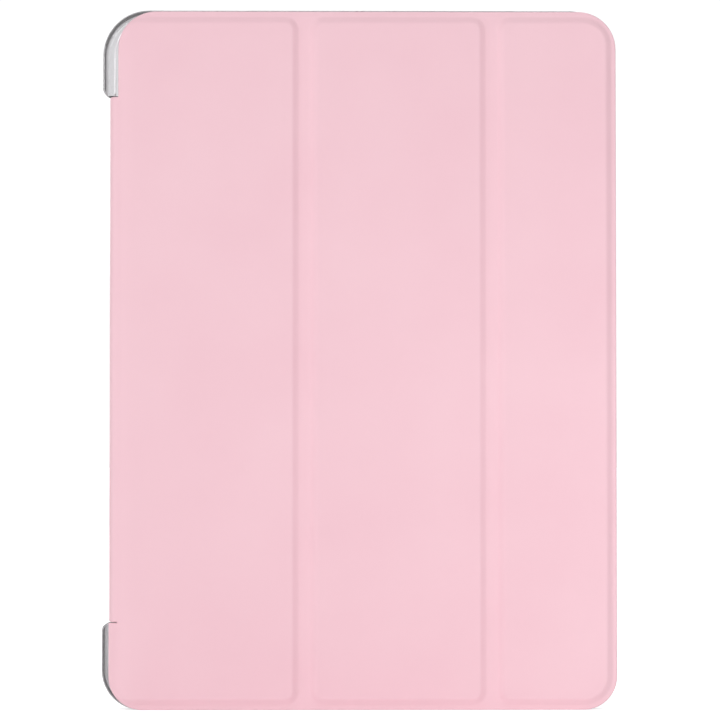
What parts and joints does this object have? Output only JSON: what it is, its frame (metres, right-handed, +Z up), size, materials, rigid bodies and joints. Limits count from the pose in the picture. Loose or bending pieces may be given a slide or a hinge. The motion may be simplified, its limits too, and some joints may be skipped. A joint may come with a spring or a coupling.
{
  "type": "tablet case",
  "caption": "Tri-fold folio cover for a tablet: a pale pink leatherette cover with creased panels, hinged by a soft spine to a clear hard back.",
  "frame": {"origin": "middle of the bottom edge, on the surface the closed case stands on", "axes": "+Z is up along the case's long side, +X runs from the spine on the left to the free edge, and +Y from the cover at the front to the hard back"},
  "size_m": [0.1846, 0.011, 0.2514],
  "materials": {
    "cover_leather": "smooth matte leatherette",
    "lining_cloth": "brushed microfibre",
    "stiffener_board": "plain board",
    "adhesive_film": "thin clear film over the leather",
    "clear_polycarbonate": "clear, slightly frosted",
    "magnet": "nickel plated",
    "keeper_steel": "bare steel"
  },
  "bodies": {
    "shell": {"back_shell": "clear_polycarbonate", "flap_adhesive": "adhesive_film", "flap_skin": "cover_leather"},
    "spine": {"spine_skin": "cover_leather", "spine_core": "stiffener_board", "spine_lining": "lining_cloth"},
    "panel_1": {"panel_1_skin": "cover_leather", "panel_1_board": "stiffener_board", "panel_1_lining": "lining_cloth", "stand_keepers": "keeper_steel"},
    "crease_1": {"crease_1_skin": "cover_leather", "crease_1_lining": "lining_cloth"},
    "panel_2": {"panel_2_skin": "cover_leather", "panel_2_board": "stiffener_board", "panel_2_lining": "lining_cloth"},
    "crease_2": {"crease_2_skin": "cover_leather", "crease_2_lining": "lining_cloth"},
    "panel_3": {"panel_3_skin": "cover_leather", "panel_3_board": "stiffener_board", "panel_3_lining": "lining_cloth", "closure_magnets": "magnet", "wake_magnet": "magnet"}
  },
  "joints": [
    {"name": "spine_back_fold", "type": "hinge", "parent": "shell", "child": "spine", "pos_m": [-0.0893, 0.00505, 0.1257], "axis": [0, 0, -1], "range_deg": [0, 150]},
    {"name": "spine_front_fold", "type": "hinge", "parent": "spine", "child": "panel_1", "pos_m": [-0.0891, -0.00485, 0.1257], "axis": [0, 0, -1], "range_deg": [0, 150]},
    {"name": "crease_1_left_fold", "type": "hinge", "parent": "panel_1", "child": "crease_1", "pos_m": [-0.023, -0.0041, 0.1257], "axis": [0, 0, -1], "range_deg": [0, 66.25]},
    {"name": "crease_1_right_fold", "type": "hinge", "parent": "crease_1", "child": "panel_2", "pos_m": [-0.0177, -0.0041, 0.1257], "axis": [0, 0, -1], "range_deg": [0, 66.25]},
    {"name": "crease_2_left_fold", "type": "hinge", "parent": "panel_2", "child": "crease_2", "pos_m": [0.0443, -0.0041, 0.1257], "axis": [0, 0, -1], "range_deg": [0, 53.75]},
    {"name": "crease_2_right_fold", "type": "hinge", "parent": "crease_2", "child": "panel_3", "pos_m": [0.0496, -0.0041, 0.1257], "axis": [0, 0, -1], "range_deg": [0, 53.75]}
  ]
}
